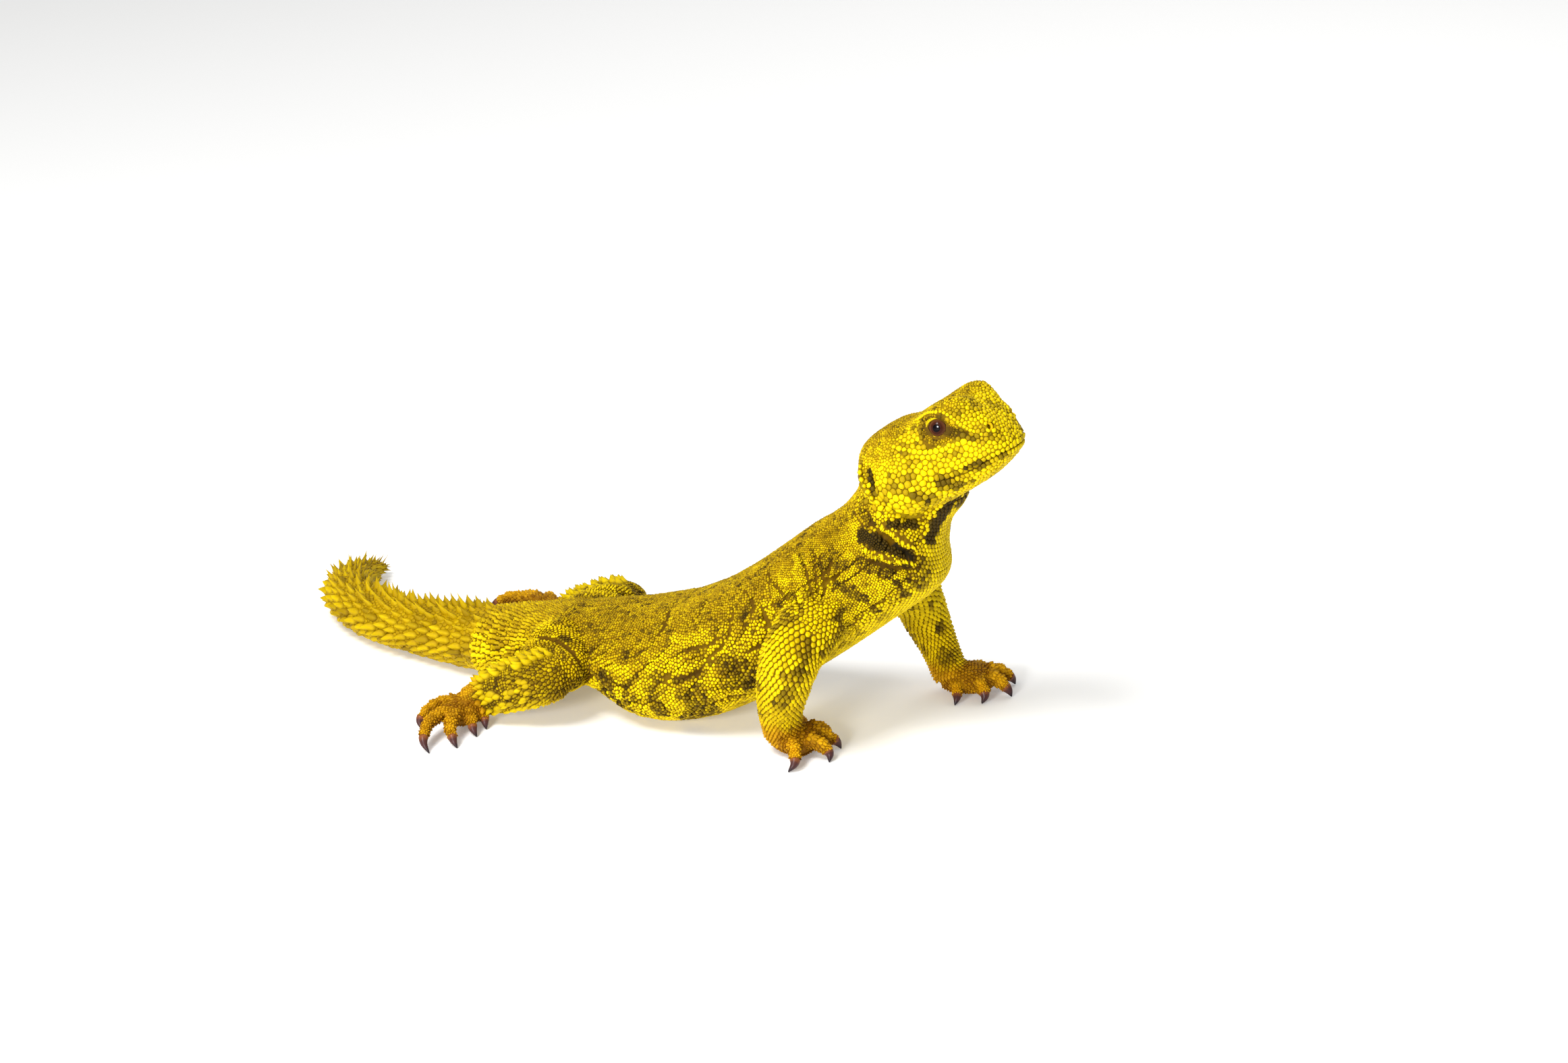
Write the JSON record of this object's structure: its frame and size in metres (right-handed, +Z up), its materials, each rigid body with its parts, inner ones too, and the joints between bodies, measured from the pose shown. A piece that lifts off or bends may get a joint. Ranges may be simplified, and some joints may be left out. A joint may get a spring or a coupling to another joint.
{
  "type": "uromastyx",
  "caption": "Life-size spiny-tailed lizard that props its chest and head up on straight forelegs, with belly, bent hind legs and ringed spiny tail on the floor.",
  "frame": {"origin": "on the floor, on the flat where the belly rests", "axes": "+X forwards along the body towards the head, +Y to the animal's left, +Z up"},
  "size_m": [0.2186, 0.1146, 0.0978],
  "materials": {
    "scaly_skin": "yellow granular scales with dark brown markings",
    "foot_skin": "orange-brown scales",
    "claw_horn": "dark horn, half gloss",
    "eye": "wet, dark red-brown iris round a black pupil"
  },
  "bodies": {
    "root": {"torso": "scaly_skin", "neck": "scaly_skin", "head": "scaly_skin", "tail_base": "scaly_skin", "tail_middle": "scaly_skin", "tail_bend": "scaly_skin", "tail_tip": "scaly_skin", "upper_arm_right": "scaly_skin", "forearm_right": "scaly_skin", "thigh_right": "scaly_skin", "shank_right": "scaly_skin", "hand_right": "foot_skin", "claw_hand_right_1": "claw_horn", "claw_hand_right_2": "claw_horn", "claw_hand_right_3": "claw_horn", "claw_hand_right_4": "claw_horn", "claw_hand_right_5": "claw_horn", "foot_right": "foot_skin", "claw_foot_right_1": "claw_horn", "claw_foot_right_2": "claw_horn", "claw_foot_right_3": "claw_horn", "claw_foot_right_4": "claw_horn", "claw_foot_right_5": "claw_horn", "eye_right": "eye", "upper_arm_left": "scaly_skin", "forearm_left": "scaly_skin", "thigh_left": "scaly_skin", "shank_left": "scaly_skin", "hand_left": "foot_skin", "claw_hand_left_1": "claw_horn", "claw_hand_left_2": "claw_horn", "claw_hand_left_3": "claw_horn", "claw_hand_left_4": "claw_horn", "claw_hand_left_5": "claw_horn", "foot_left": "foot_skin", "claw_foot_left_1": "claw_horn", "claw_foot_left_2": "claw_horn", "claw_foot_left_3": "claw_horn", "claw_foot_left_4": "claw_horn", "claw_foot_left_5": "claw_horn", "eye_left": "eye"}
  },
  "joints": []
}
